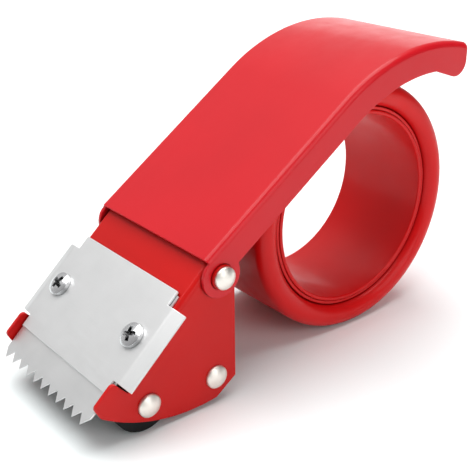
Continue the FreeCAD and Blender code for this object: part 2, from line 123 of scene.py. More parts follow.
behind = (-0.2, 0.85, 0.49)   # the brightest part of the sky
sky_levels = {"From Min": -0.2, "From Max": 1.0, "To Min": 0.06, "To Max": 0.62}
sky = bpy.data.worlds.new("pale_sky")
sky.use_nodes = True
sky.node_tree.nodes["Background"].inputs["Color"].default_value = (1.0, 1.0, 1.0, 1.0)
sky_nodes, sky_links = sky.node_tree.nodes, sky.node_tree.links
facing_back = sky_nodes.new("ShaderNodeVectorMath")
facing_back.operation = "DOT_PRODUCT"
facing_back.inputs[1].default_value = behind
strength = sky_nodes.new("ShaderNodeMapRange")
for name, value in sky_levels.items():
    strength.inputs[name].default_value = value
sky_direction = sky_nodes.new("ShaderNodeTexCoord").outputs["Generated"]
sky_links.new(sky_direction, facing_back.inputs[0])
sky_links.new(facing_back.outputs["Value"], strength.inputs["Value"])
sky_links.new(strength.outputs["Result"], sky_nodes["Background"].inputs["Strength"])
scene.world = sky
scene.view_settings.view_transform = "Standard"

# %% [markdown]
# ## How a finish is mixed
# Each finish is a small graph of nodes around one Principled shader. Values that are the same
# all over are set on the shader itself. Detail comes from noise in object space, so it has a
# real size in metres and needs no unwrapping. These helpers add a node, a noise of a given
# grain, and a gentle bump.

# %% Material helpers
usual_span = (0.3, 0.7)   # nearly all values of a noise lie between these


class Finish:
    """A material and the few moves that every finish here uses."""

    def __init__(self, name, color, rough, metal=0.0):
        self.material = bpy.data.materials.new(name)
        self.material.use_nodes = True
        self.tree = self.material.node_tree
        self.shader = self.tree.nodes["Principled BSDF"]
        self.set("Base Color", (*color, 1.0))
        self.set("Roughness", rough)
        self.set("Metallic", metal)
        self.place = self.node("ShaderNodeTexCoord").outputs["Object"]
        self.height = None
        self.material.diffuse_color = (*color, 1.0)

    def set(self, socket, value):
        self.shader.inputs[socket].default_value = value

    def node(self, kind, **settings):
        made = self.tree.nodes.new(kind)
        for name, value in settings.items():
            setattr(made, name, value)
        return made

    def link(self, source, target):
        self.tree.links.new(source, target)

    def noise(self, grain, stretch=(1.0, 1.0, 1.0), detail=3.0, seed=0.0):
        """Noise whose blobs are about a grain long; stretch lengthens them along an axis."""
        mapping = self.node("ShaderNodeMapping")
        self.link(self.place, mapping.inputs["Vector"])
        mapping.inputs["Scale"].default_value = [1.0 / (grain * s) for s in stretch]
        mapping.inputs["Location"].default_value = (seed, seed * 1.7, seed * 2.3)
        noise = self.node("ShaderNodeTexNoise")
        noise.inputs["Scale"].default_value = 1.0
        noise.inputs["Detail"].default_value = detail
        self.link(mapping.outputs["Vector"], noise.inputs["Vector"])
        return noise.outputs["Fac"]

    def ramp(self, source, stops):
        """Colour ramp from (position, colour) stops."""
        ramp = self.node("ShaderNodeValToRGB")
        for _ in range(len(stops) - 2):
            ramp.color_ramp.elements.new(0.5)
        for element, (position, color) in zip(ramp.color_ramp.elements, stops):
            element.position = position
            element.color = (*color, 1.0)
        self.link(source, ramp.inputs["Fac"])
        return ramp.outputs["Color"]

    def spread(self, source, low, high, span=usual_span):
        """The part of a noise between the ends of a span, stretched to run from low to high."""
        ranged = self.node("ShaderNodeMapRange")
        self.link(source, ranged.inputs["Value"])
        ranged.inputs["From Min"].default_value = span[0]
        ranged.inputs["From Max"].default_value = span[1]
        ranged.inputs["To Min"].default_value = low
        ranged.inputs["To Max"].default_value = high
        return ranged.outputs["Result"]

    def color_from(self, source, dark, light):
        """Colour that drifts between two shades."""
        shades = self.ramp(source, list(zip(usual_span, (dark, light))))
        self.link(shades, self.shader.inputs["Base Color"])

    def paint_recess_shade(self, distance, floor_shade, local=True):
        """Paint shade into the colour where this piece, or with local=False any piece, is close around."""
        colour = self.shader.inputs["Base Color"]
        # Painted shade: ambient occlusion darkens the colour in recesses and where pieces meet.
        openness = self.node("ShaderNodeAmbientOcclusion", samples=8, only_local=local)
        openness.inputs["Distance"].default_value = distance
        closed, clear = (0.35, (floor_shade,) * 3), (0.75, (1.0, 1.0, 1.0))
        shaded = self.ramp(openness.outputs["AO"], [closed, clear])
        mix = self.node("ShaderNodeMix", data_type="RGBA", blend_type="MULTIPLY")
        mix.inputs["Factor"].default_value = 1.0
        self.link(colour.links[0].from_socket, mix.inputs["A"])
        self.link(shaded, mix.inputs["B"])
        self.link(mix.outputs["Result"], colour)

    def rough_from(self, source, low, high):
        """Roughness that drifts between two values."""
        self.link(self.spread(source, low, high), self.shader.inputs["Roughness"])

    def bump(self, source, depth):
        """Relief of a depth in metres, laid over what was there before."""
        bump = self.node("ShaderNodeBump")
        bump.inputs["Strength"].default_value = 1.0
        bump.inputs["Distance"].default_value = depth
        self.link(source, bump.inputs["Height"])
        if self.height:
            self.link(self.height, bump.inputs["Normal"])
        self.height = bump.outputs["Normal"]
        self.link(self.height, self.shader.inputs["Normal"])


def shade(color, factor):
    """A colour made darker or lighter."""
    return tuple(min(1.0, part * factor) for part in color)


print("usual span of a noise:", usual_span)


# %% [markdown]
# ## Red enamel
# The sheet is dipped or sprayed with a gloss red and baked. A baked coat is never flat: it has
# a slow orange-peel ripple about a millimetre across, a finer one inside it, and here and there
# a speck of dust under the gloss. The gloss is a clear coat over a duller red, because that is
# how a baked enamel looks: sharp lamp edges over a soft body colour. Where two painted pieces
# meet, painted shade darkens the colour: a hair's breadth at the seams of the head, more in the
# narrow groove of the hub.

# %% Red enamels
def enamel(name, color, coat, peel_depth, seed, recess_shade):
    """Baked red enamel, with painted shade where other pieces close round it."""
    drift, dull_patch, peel, fine_peel, speck = 28 * mm, 6 * mm, 1.3 * mm, 0.32 * mm, 0.9 * mm
    finish = Finish(name, color, 0.42)
    drifting = finish.noise(drift, detail=2.0, seed=seed)
    finish.color_from(drifting, shade(color, 0.955), shade(color, 1.03))
    finish.rough_from(finish.noise(dull_patch, seed=seed + 3), 0.36, 0.48)
    finish.set("Specular IOR Level", 0.16)
    finish.set("Coat Weight", coat)
    finish.set("Coat Roughness", 0.16)
    finish.set("Coat IOR", 1.5)
    finish.bump(finish.noise(peel, detail=1.0, seed=seed + 5), peel_depth)
    finish.bump(finish.noise(fine_peel, detail=2.0, seed=seed + 7), peel_depth * 0.18)
    rare = finish.noise(speck, detail=0.0, seed=seed + 11)
    finish.bump(finish.spread(rare, 0.0, 1.0, (0.80, 0.86)), 0.012 * mm)
    # Painted shade in the base colour wherever any piece is close around.
    finish.paint_recess_shade(*recess_shade, local=False)
    return finish.material


head_red = (0.53, 0.004, 0.003)
handle_red = (0.58, 0.005, 0.012)
collar_red = shade(head_red, 0.92)
hub_red = (0.62, 0.003, 0.004)
sleeve_red = shade(hub_red, 0.95)
# Painted shade at the seams of the head and in the narrow groove of the hub.
seam_shade, groove_shade = (1.3 * mm, 0.45), (2.4 * mm, 0.55)   # how far the shade reaches, and how dark
red_materials = {
    "red_head": enamel("red_enamel_head", head_red, coat=0.12,
                       peel_depth=0.010 * mm, seed=1.0, recess_shade=seam_shade),
    "red_handle": enamel("red_enamel_handle", handle_red, coat=0.3,
                         peel_depth=0.010 * mm, seed=4.0, recess_shade=seam_shade),
    "red_collar": enamel("red_enamel_collar", collar_red, coat=0.2,
                         peel_depth=0.006 * mm, seed=7.0, recess_shade=seam_shade),
    "red_sleeve": enamel("red_enamel_sleeve", sleeve_red, coat=0.15,
                         peel_depth=0.007 * mm, seed=9.0, recess_shade=groove_shade),
    "red_hub": enamel("red_moulded_hub", hub_red, coat=0.15,
                      peel_depth=0.004 * mm, seed=12.0, recess_shade=groove_shade),
}
print("red finishes:", sorted(red_materials))

# %% [markdown]
# ## Bare metal
# The clamp plate is rolled steel with a thin zinc plate: pale, satin, with a fine grain across
# the tool and a faint cloudiness. The blade is harder, a little greyer, and ground along its
# length. The screws are barrel polished and nickelled, so they are near mirrors. The rivets are
# soft steel, pressed to a dome, warmer and slightly dimpled. Washers and nuts under the head
# are plain zinc.

# %% Metal finishes
def metal(name, color, rough, grain, stretch, depth, clouds, seed):
    """Bare metal with a grain of a given size and depth, and clouds of lighter and darker shade."""
    finish = Finish(name, color, sum(rough) / 2, 1.0)
    cloud = 9 * mm
    cloudy = finish.noise(cloud, detail=3.0, seed=seed + 2)
    finish.color_from(cloudy, shade(color, 1 - clouds), shade(color, 1 + clouds / 2))
    lines = finish.noise(grain, stretch, detail=4.0, seed=seed)
    finish.rough_from(lines, *rough)
    finish.bump(lines, depth)
    return finish


lined, even = (1.0, 45.0, 1.0), (1.0, 1.0, 1.0)
metals = {
    "clamp_steel": metal("satin_zinc", (0.77, 0.77, 0.77), rough=(0.46, 0.58), grain=0.12 * mm,
                         stretch=lined, depth=0.0012 * mm, clouds=0.03, seed=21.0),
    "blade_steel": metal("ground_steel", (0.76, 0.76, 0.76), rough=(0.40, 0.52), grain=0.10 * mm,
                         stretch=lined, depth=0.0015 * mm, clouds=0.05, seed=25.0),
    "screw_steel": metal("bright_nickel", (0.70, 0.70, 0.71), rough=(0.17, 0.25), grain=0.8 * mm,
                         stretch=even, depth=0.0004 * mm, clouds=0.02, seed=29.0),
    "rivet_steel": metal("pressed_steel", (0.86, 0.81, 0.75), rough=(0.40, 0.52), grain=0.6 * mm,
                         stretch=even, depth=0.0015 * mm, clouds=0.05, seed=33.0),
    "zinc_steel": metal("plain_zinc", (0.62, 0.64, 0.66), rough=(0.30, 0.48), grain=0.6 * mm,
                        stretch=even, depth=0.003 * mm, clouds=0.10, seed=37.0),
}
# Painted shade: the cross recess of each screw head is darkened nearly to black.
metals["screw_steel"].paint_recess_shade(distance=1.6 * mm, floor_shade=0.03)
# Painted shade: a contact shadow on the clamp round the screw heads and wherever other pieces are close.
metals["clamp_steel"].paint_recess_shade(distance=1.0 * mm, floor_shade=0.4, local=False)
metal_materials = {slot: finish.material for slot, finish in metals.items()}
print("metal finishes:", sorted(metal_materials))

# %% [markdown]
# ## Rubber and nylon
# The press roller wears a black rubber tyre, ground to size, so it is matt with a fine sandy
# skin. The roller bodies are black nylon with the slight shine of a moulding, and the slip
# washer is the same plastic in its natural cream.

# %% Rubber, nylon and paper
def plastic(name, color, rough, grain, depth, seed, gloss=0.5):
    """Rubber or nylon with a skin of a given grain and depth."""
    finish = Finish(name, color, sum(rough) / 2)
    finish.set("Specular IOR Level", gloss)
    cloud = 5 * mm
    finish.color_from(finish.noise(cloud, seed=seed), shade(color, 0.85), shade(color, 1.15))
    finish.rough_from(finish.noise(grain, seed=seed + 1), *rough)
    finish.bump(finish.noise(grain, detail=5.0, seed=seed + 2), depth)
    return finish.material


soft_materials = {
    "black_rubber": plastic("ground_rubber", (0.007, 0.007, 0.0075), rough=(0.55, 0.75),
                            grain=0.22 * mm, depth=0.02 * mm, seed=41.0, gloss=0.2),
    "roller_plastic": plastic("black_nylon", (0.03, 0.03, 0.031), rough=(0.35, 0.5),
                              grain=0.5 * mm, depth=0.006 * mm, seed=45.0),
    "washer_plastic": plastic("natural_nylon", (0.78, 0.75, 0.68), rough=(0.35, 0.5),
                              grain=0.5 * mm, depth=0.005 * mm, seed=49.0),
}
finishes = {**red_materials, **metal_materials, **soft_materials}

paper_finish = Finish("white_paper", (0.93, 0.975, 0.975), rough=0.85)
paper_finish.set("Specular IOR Level", 0.1)
paper_clouds = paper_finish.noise(grain=60 * mm, seed=51.0)
paper_finish.color_from(paper_clouds, (0.925, 0.97, 0.97), (0.935, 0.98, 0.98))
paper_mesh.materials.append(paper_finish.material)
print("all finishes:", len(finishes))

# %% [markdown]
# ## Fitting a piece in place of a packed one
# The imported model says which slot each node's finish comes from and which body it moves with. A
# finer piece that stands in for a node takes both from there, so the two can't disagree.

# %% Stand in for a node
slot_of = {part["node"]: part["material_slot"] for part in frame["record"]["subparts"]}
bodies = frame["record"]["behaviour"]["bodies"]
body_of = {node: body for body, nodes in bodies.items() for node in nodes}


def stand_in(name, node, mesh):
    """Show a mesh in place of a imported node, with the node's finish and body."""
    piece = bpy.data.objects.new(name, mesh)
    scene.collection.objects.link(piece)
    mesh.materials.clear()
    mesh.materials.append(finishes[slot_of[node]])
    for face in mesh.polygons:
        face.use_smooth = True
    normals = piece.modifiers.new("even_normals", "WEIGHTED_NORMAL")
    normals.mode = "FACE_AREA"
    normals.weight = 50
    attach(piece, body_of[node])
    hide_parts(node)
    return piece


print("nodes to stand in for:", len(slot_of), "on bodies:", sorted(bodies))


# %% [markdown]
# ## Tools for making pieces
# Three moves make almost everything here. A closed outline is turned round an axis for rings,
# rivets and rollers. A surface is thickened into sheet for folded parts. A shape is cut with
# another for recesses and holes. Corners are softened while they are still points of an
# outline, so the rounding is part of the form.

# %% Turned and cut shapes
nearly_half = 0.49   # the most that a corner may take of a side, so that two never meet


def soft(corners, size, steps=4):
    """Closed outline with each corner rounded; a corner's own third number overrides the size."""
    flat = [Vector(corner[:2]) for corner in corners]
    made = []
    for index, corner in enumerate(flat):
        before, after = flat[index - 1] - corner, flat[(index + 1) % len(flat)] - corner
        trim = corners[index][2] if len(corners[index]) > 2 else size
        trim = min(trim, before.length * nearly_half, after.length * nearly_half)
        first, last = corner + before.normalized() * trim, corner + after.normalized() * trim
        if trim == 0:
            made.append(corner)
            continue
        for step in range(steps + 1):
            t = step / steps
            made.append(first * (1 - t) ** 2 + corner * 2 * t * (1 - t) + last * t ** 2)
    return made


def round_arc(centre, radius, start, end, steps):
    """Points of an arc in an outline, which are not softened again."""
    turns = [radians(start + (end - start) * step / steps) for step in range(steps + 1)]
    return [(centre[0] + radius * cos(a), centre[1] + radius * sin(a), 0.0) for a in turns]


def turned(name, outline, centre, axis, steps=96):
    """Closed mesh from an outline of (radius, distance along the axis), in millimetres."""
    turn = Vector(axis).to_track_quat("Z", "Y").to_matrix()
    points, faces, count = [], [], len(outline)
    for step in range(steps):
        angle = 2 * pi * step / steps
        points += [centre + turn @ Vector((r * cos(angle), r * sin(angle), d)) * mm
                   for r, d in outline]
    for step in range(steps):
        here, there = step * count, (step + 1) % steps * count
        faces += [(here + k, there + k, there + (k + 1) % count, here + (k + 1) % count)
                  for k in range(count)]
    return closed_mesh(name, points, faces)


same_point = 2e-7


def closed_mesh(name, points, faces):
    """Mesh with doubled points joined, nothing empty or loose, and every face turned outwards."""
    shape = bmesh.new()
    corners = [shape.verts.new(point) for point in points]
    for face in faces:
        shape.faces.new([corners[k] for k in face])
    bmesh.ops.remove_doubles(shape, verts=shape.verts, dist=same_point)
    bmesh.ops.dissolve_degenerate(shape, edges=shape.edges, dist=same_point)
    loose_edges = [edge for edge in shape.edges if not edge.link_faces]
    bmesh.ops.delete(shape, geom=loose_edges, context="EDGES")
    loose_points = [corner for corner in shape.verts if not corner.link_faces]
    bmesh.ops.delete(shape, geom=loose_points, context="VERTS")
    bmesh.ops.recalc_face_normals(shape, faces=shape.faces)
    mesh = bpy.data.meshes.new(name)
    shape.to_mesh(mesh)
    shape.free()
    return mesh


def worked(mesh, kind, **settings):
    """Mesh after one modifier."""
    holder = bpy.data.objects.new("workpiece", mesh)
    scene.collection.objects.link(holder)
    change = holder.modifiers.new("change", kind)
    for name, value in settings.items():
        setattr(change, name, value)
    graph = bpy.context.evaluated_depsgraph_get()
    made = bpy.data.meshes.new_from_object(holder.evaluated_get(graph), depsgraph=graph)
    bpy.data.objects.remove(holder)
    return made


def cut(mesh, *cutters):
    """Mesh with other meshes cut out of it."""
    for cutter in cutters:
        tool = bpy.data.objects.new("cutter", cutter)
        scene.collection.objects.link(tool)
        mesh = worked(mesh, "BOOLEAN", operation="DIFFERENCE", solver="EXACT", object=tool)
        bpy.data.objects.remove(tool)
    return mesh


def without_slivers(mesh, size):
    """Mesh with points closer than a size joined, so that tiny edges don't hold a bevel back."""
    shape = bmesh.new()
    shape.from_mesh(mesh)
    bmesh.ops.remove_doubles(shape, verts=shape.verts, dist=size)
    bmesh.ops.dissolve_degenerate(shape, edges=shape.edges, dist=size)
    shape.to_mesh(mesh)
    shape.free()
    return mesh


def joined(name, meshes):
    """Several meshes as one."""
    shape = bmesh.new()
    for mesh in meshes:
        shape.from_mesh(mesh)
    made = bpy.data.meshes.new(name)
    shape.to_mesh(made)
    shape.free()
    return made


def middle(node):
    """Centre of a node's box."""
    low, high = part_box(node)
    return (Vector(low) + Vector(high)) / 2


def reach(node, axis):
    """Low and high of a node's box along an axis, in millimetres."""
    low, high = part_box(node)
    return low[axis] / mm, high[axis] / mm


def half_span(node, axis):
    """Half a node's width along an axis, in millimetres."""
    low, high = reach(node, axis)
    return (high - low) / 2


X, Y, Z = 0, 1, 2
print("hub ring spans y, mm:", [round(v, 2) for v in reach("hub_ring", Y)])

# %% [markdown]
# ## The handle
# The handle is one channel of sheet. Its top runs straight from the hinge, then bends over the
# palm in a wide arc. The two long edges are folded down with a small round. The mesh follows
# the way the sheet is made: rows run the whole length, first across the top, then round the
# fold. Each flange is one flat face with the ear at its front and the rounded lobe at its tail.

# %% Handle surface
slope = radians(34.5)
along_handle = Vector((cos(slope), 0, sin(slope)))
off_handle = Vector((-sin(slope), 0, cos(slope)))
handle_half = reach("handle_shell", Y)[1]
sheet, fold = 1.0, 1.8
rise, straight, front_edge = 6.9, 56.0, -0.6
crest, crest_turn, flange = 58.0, 49.0, 8.1
ear_radius, lobe_radius, lobe_drop, flange_turn = 5.8, 4.2, 4.85, 36.5


def on_handle(along, off):
    """Side-view point in millimetres, as (x, z) from the pivot."""
    point = along_handle * along + off_handle * off
    return Vector((point.x, point.z))


def polar(centre, radius, turn):
    """Point at a radius and a turn in degrees round a centre."""
    return centre + Vector((cos(radians(turn)), sin(radians(turn)))) * radius


crest_centre = on_handle(straight, rise - crest)
crest_start = 90 + degrees(slope)
tail = polar(crest_centre, crest, crest_start - crest_turn)


def row(depth, steps=24):
    """Line along the handle at a depth under its top, from the front edge to the tail."""
    off = rise - depth
    start = min(front_edge, -sqrt(max(0.0, ear_radius ** 2 - off ** 2)))
    end = degrees(acos((tail.x - crest_centre.x) / (crest - depth)))
    flat = [on_handle(start + (straight - start) * k / steps, off) for k in range(steps)]
    turns = [crest_start + (end - crest_start) * k / (2 * steps) for k in range(2 * steps + 1)]
    return flat + [polar(crest_centre, crest - depth, turn) for turn in turns]


def arc_points(centre, radius, start, end, steps):
    return [polar(centre, radius, start + (end - start) * k / steps) for k in range(steps + 1)]


def flange_edge():
    """Edge of a flange from the tail round the lobe, along the bottom and round the ear."""
    inner = crest - flange
    lobe = tail + Vector((-lobe_radius, -lobe_drop))
    end = polar(crest_centre, inner, crest_start - flange_turn)
    gap = lobe - end
    swing = degrees(acos(lobe_radius / gap.length))
    lobe_end = degrees(atan2(-gap.y, -gap.x)) + swing
    under = flange - rise
    ear_bottom = sqrt(ear_radius ** 2 - under ** 2)
    ear_from = degrees(atan2(-under, ear_bottom))
    over = rise - fold
    ear_to = degrees(atan2(over, -sqrt(ear_radius ** 2 - over ** 2))) - 360
    lobe_steps, curve_steps, ear_steps = 12, 40, 32
    edge = arc_points(lobe, lobe_radius, 0, lobe_end % 360 - 360, lobe_steps)
    edge += arc_points(crest_centre, inner, crest_start - flange_turn, crest_start, curve_steps)
    ears = [ear_from + (ear_to - ear_from) * k / ear_steps for k in range(ear_steps)]
    return edge + [on_handle(ear_radius * cos(radians(a)), ear_radius * sin(radians(a)))
                   for a in ears]


def handle_surface():
    """Outside of the handle: its top, its two folds and its flanges."""
    bends = 8
    profile = [(handle_half - fold + fold * sin(a), fold - fold * cos(a))
               for a in (pi / 2 * (bends - k) / bends for k in range(bends + 1))]
    profile += [(-across, depth) for across, depth in reversed(profile)]
    points, faces = [], []
    for across, depth in profile:
        points += [pivot + Vector((p.x, across, p.y)) * mm for p in row(depth)]
    length = len(points) // len(profile)
    for k in range(len(profile) - 1):
        first, second = k * length, (k + 1) * length
        faces += [(first + i, first + i + 1, second + i + 1, second + i)
                  for i in range(length - 1)]
    for start, across in ((0, handle_half), ((len(profile) - 1) * length, -handle_half)):
        rim = [pivot + Vector((p.x, across, p.y)) * mm for p in flange_edge()]
        base = len(points)
        points += rim
        faces.append(list(range(start, start + length)) + list(range(base, base + len(rim))))
    return closed_mesh("handle_surface", points, faces)


print("tail of the handle, mm from its pivot:", [round(v, 1) for v in tail])


# %% [markdown]
# ## From a surface to sheet
# Folded sheet has one thickness everywhere. The surface above is its outside, so it is
# thickened inwards, which keeps every fold true. The bore for the hinge is then cut through
# both ears at once, as a drill would do it. The cut edges get a narrow bevel, because enamel
# draws back into a small round on a sheared edge.

# %% Fit the handle
def outward(mesh):
    """Turn an open surface's faces so that they look away from its middle."""
    centre = sum((v.co for v in mesh.vertices), Vector()) / len(mesh.vertices)
    widest = max(mesh.polygons, key=lambda face: face.area)
    if widest.normal.dot(widest.center - centre) < 0:
        mesh.flip_normals()
    return mesh


def finished_edges(piece, width, sharp=40.0):
    """Round a piece's cut edges with a narrow bevel, laid before its even normals."""
    edge = piece.modifiers.new("cut_edges", "BEVEL")
    edge.width = width
    edge.segments = 3
    edge.limit_method = "ANGLE"
    edge.angle_limit = radians(sharp)
    edge.miter_outer = "MITER_SHARP"
    edge.use_clamp_overlap = True
    piece.modifiers.move(len(piece.modifiers) - 1, 0)
    return piece


surface = outward(handle_surface())
thick = worked(surface, "SOLIDIFY", thickness=sheet * mm, offset=-1.0, use_even_offset=True)
along_y = (0, 1, 0)
ear_bore, past_ears = 3.4, 30
bore_outline = [(0, -past_ears), (ear_bore, -past_ears), (ear_bore, past_ears), (0, past_ears)]
bore = turned("bore", bore_outline, pivot, along_y, steps=64)
finished_edges(stand_in("handle_piece", "handle_shell", cut(thick, bore)), width=0.2 * mm)

# %% [markdown]
# ## The hub
# The roll's core rides on a ring whose open end is a full half-round, so the card slides over
# it. Inside it a fixed sleeve passes through, with a small rounded lip in front and its far end
# rolled over behind the arm. Between the lip and the half-round lies the groove that shows as a
# dark circle, deepened by painted shade in the hub's enamel.

# %% Hub pieces
hub_outer = half_span("hub_ring", Z)
crest_y, hub_back = reach("hub_ring", Y)
hub_wall, hub_bore = 1.2, 29.25
bead = (hub_outer - hub_bore - hub_wall) / 2
hub_front = crest_y + bead
bead_middle = (hub_outer - bead, hub_front)
bearing = hub_bore + hub_wall
end_play = 0.15
bearing_end = reach("hub_washer", Y)[0] - end_play
ring_outline = soft(
    [(hub_bore, hub_front, 0.3)] + round_arc(bead_middle, bead, 180, 360, steps=28)
    + [(hub_outer, hub_back, 0.35), (hub_outer - hub_wall, hub_back, 0.35)]
    + round_arc(bead_middle, bead - hub_wall, 360, 180, steps=18)
    + [(bearing, hub_front + hub_wall), (bearing, bearing_end), (hub_bore, bearing_end)], 0.2)
ring_mesh = turned("ring", ring_outline, hub_axis, along_y, steps=192)
stand_in("ring_piece", "hub_ring", ring_mesh)

lip_y, roll_y = reach("hub_sleeve", Y)
running_fit, sleeve_wall, rolled_out = 0.05, 1.2, 1.0
sleeve_radius = hub_bore - running_fit
bore_radius = sleeve_radius - sleeve_wall
rim_radius, rim_y = sleeve_radius + rolled_out, roll_y - sleeve_wall
sleeve_outline = soft([
    (bore_radius, lip_y, 0.55), (sleeve_radius, lip_y, 0.55), (sleeve_radius, rim_y, 0.2),
    (rim_radius, rim_y, 0.4), (rim_radius, roll_y, 0.5), (bore_radius, roll_y, 0.8),
], size=0.3, steps=6)
sleeve_mesh = turned("sleeve", sleeve_outline, hub_axis, along_y, steps=192)
stand_in("sleeve_piece", "hub_sleeve", sleeve_mesh)


def tube_outline(outer, inner, low, high, size):
    """Outline of a plain tube with rounded corners."""
    return soft([(inner, low), (outer, low), (outer, high), (inner, high)], size)


sliding_fit, retainer_wall, slip_washer_wall = 0.04, 1.0, 1.3
on_sleeve = sleeve_radius + sliding_fit
retainer_outer, slip_outer = on_sleeve + retainer_wall, on_sleeve + slip_washer_wall
retainer_outline = tube_outline(retainer_outer, on_sleeve, *reach("hub_retainer", Y), size=0.3)
slip_washer_outline = tube_outline(slip_outer, on_sleeve, *reach("hub_washer", Y), size=0.1)
retainer_mesh = turned("retainer", retainer_outline, hub_axis, along_y, steps=160)
slip_washer_mesh = turned("slip_washer", slip_washer_outline, hub_axis, along_y, steps=160)
stand_in("retainer_piece", "hub_retainer", retainer_mesh)
stand_in("slip_washer_piece", "hub_washer", slip_washer_mesh)
print("hub ring, mm: radius", hub_outer, "bead", round(bead, 2), "front", round(hub_front, 2))

# %% [markdown]
# ## Rivets and axles
# The head of a rivet or an axle is a short straight rim under a slice of a sphere. It could be
# modelled each time, but one helper that draws its outline from radius, rim and rise serves
# them all, and the outline is turned like everything else here.

# %% Dome heads
def dome(radius, base, rim, rise_by, steps=10):
    """Outline of a round head from its foot to its top, standing out from a base."""
    sphere = (radius ** 2 + rise_by ** 2) / (2 * rise_by)
    centre = base + rim + rise_by - sphere
    start = degrees(acos(radius / sphere))
    return [(radius, base, 0.12)] + round_arc((0, centre), sphere, start, 90, steps)


def mirrored_outline(outline):
    """The same outline at the other end of its axis."""
    return [(point[0], -point[1], *point[2:]) for point in reversed(outline)]


head_rim, head_dome, shaft = 0.7, 1.2, 2.0
on_shaft = shaft + sliding_fit
cheek = reach("head_frame", Y)[1]
inside = cheek - sheet
facings = {"near": (0, -1, 0), "far": (0, 1, 0)}
print("outer face of a cheek, mm:", round(cheek, 2))

# %% [markdown]
# ## The hinge
# The handle's ears turn on painted collars, so a thin dark gap shows round each collar inside
# its ear, deepened by painted shade in the enamel. A rivet holds the collar to the cheek and ends
# inside in a low flat tail. Both sides share one outline, which is turned facing one way and then
# the other.

# %% Hinge collars and rivets
collar_radius, rivet_head, tail_radius, tail_height = 3.35, 3.05, 3.0, 0.9
proud = reach("pivot_collar_far", Y)[1]
tail_end = inside - tail_height
collar = tube_outline(collar_radius, on_shaft, cheek, proud, size=0.22)
rivet = soft(
    [(0, tail_end, 0), (tail_radius, tail_end, 0.35), (tail_radius, inside), (shaft, inside, 0),
     (shaft, proud, 0)] + dome(rivet_head, proud, head_rim, head_dome), size=0.15)
for side, facing in facings.items():
    collar_mesh = turned("collar", collar, pivot, facing, steps=72)
    rivet_mesh = turned("rivet", rivet, pivot, facing, steps=72)
    stand_in("collar_" + side, "pivot_collar_" + side, collar_mesh)
    stand_in("rivet_" + side, "pivot_rivet_" + side, rivet_mesh)
print("collars reach, mm:", round(proud, 2))

# %% [markdown]
# ## Axles and rollers
# The axles cross between the cheeks with a dome at each end, and thin washers keep the rollers
# off the sheet. The rollers are tubes with a small hollow in each end, as moulded ones have,
# and the front one wears a tyre. All are turned, because nothing on them changes round the
# axis.

# %% Axles, their washers and the rollers
axle_head, washer_radius, washer_thick = 3.2, 3.8, 0.5
roller_end = reach("rear_roller", Y)[1]
axle_end = [(shaft, cheek, 0)] + dome(axle_head, cheek, head_rim, head_dome)
axle_outline = soft(mirrored_outline(axle_end) + axle_end, size=0.12)
washer = tube_outline(washer_radius, on_shaft, inside - washer_thick, inside, size=0.1)
for name in ("front", "rear"):
    centre = places[name + "_roller_spin"]
    axle_mesh = turned("axle", axle_outline, centre, along_y, steps=72)
    stand_in(name + "_axle_piece", name + "_axle", axle_mesh)
    both = [turned("washer", washer, centre, facings[side], steps=72) for side in ("far", "near")]
    stand_in(name + "_washers", name + "_axle_washers", joined("washers", both))


def roller_outline(radius, rounding):
    """Roller body with a hollow ring in each end."""
    hollow, wall = 2.5, 0.9
    bore_at = shaft + running_fit
    hub_at, rim_at, floor_at = bore_at + wall, radius - wall, roller_end - hollow
    end = [(bore_at, roller_end, 0.15), (hub_at, roller_end, 0.15), (hub_at, floor_at),
           (rim_at, floor_at), (rim_at, roller_end, 0.15), (radius, roller_end, rounding)]
    return soft(mirrored_outline(end) + end, size=0.12)


rear_radius, core_radius, tyre_radius = (
    half_span(node, X) for node in ("rear_roller", "front_roller_core", "front_roller_tyre"))
rear_axis, front_axis = places["rear_roller_spin"], places["front_roller_spin"]
rear_outline = roller_outline(rear_radius, rounding=0.4)[::-1]
rear_mesh = turned("rear_roller", rear_outline, rear_axis, along_y)
stand_in("rear_roller_piece", "rear_roller", rear_mesh)
core_outline = roller_outline(core_radius, rounding=0.1)[::-1]
core_mesh = turned("core", core_outline, front_axis, along_y)
stand_in("core_piece", "front_roller_core", core_mesh)
on_core = core_radius + sliding_fit
tyre_outline = soft([(on_core, -roller_end, 0.2), (tyre_radius, -roller_end, 0.8),
                     (tyre_radius, roller_end, 0.8), (on_core, roller_end, 0.2)],
                    size=0.2, steps=6)
tyre_mesh = turned("tyre", tyre_outline, front_axis, along_y, steps=128)
stand_in("tyre_piece", "front_roller_tyre", tyre_mesh)
print("roller radii, mm:", [round(r, 2) for r in (rear_radius, core_radius, tyre_radius)])

# %% [markdown]
# ## The sloping seat
# The blade, the clamp and the screws lie on a seat that slopes down to the front. A point is
# named by how far down the slope it is from the hinge, how far across, and how far off the
# seat, so each of these pieces can be drawn as if it lay flat.

# %% The sloping seat
seat_slope = radians(42.0)
down = Vector((-cos(seat_slope), 0, -sin(seat_slope)))
up = Vector((-sin(seat_slope), 0, cos(seat_slope)))
seat_top, blade_thick, clamp_thick = 4.9, 0.6, 0.8
blade_top = seat_top + blade_thick
clamp_top = blade_top + clamp_thick


def on_seat(along, across, off):
    """Point of the scene from its place on the seat, in millimetres."""
    return pivot + (down * along + up * off) * mm + Vector((0, across * mm, 0))


screw_along = (middle("clamp_nut_washers") - pivot).dot(down) / mm
screw_half = reach("clamp_nut_washers", Y)[1] - washer_radius
screw_feet = [on_seat(screw_along, side * screw_half, 0) for side in (-1, 1)]
screw_hole, drilled = 1.9, 9
drill_outline = [(0, 0), (screw_hole, 0), (screw_hole, drilled), (0, drilled)]
drills = [turned("drill", drill_outline, foot, up, steps=48) for foot in screw_feet]
print("screws at", round(screw_along, 2), "down the seat and", round(screw_half, 2), "to each side")

# %% [markdown]
# ## The blade
# The blade is a strip of hard steel with teeth along its front, ground underneath to a thin
# edge. Its outline, simply thickened, would leave the teeth blunt. So the points of its
# underside rise towards the tips, and the holes for the screws are cut afterwards.

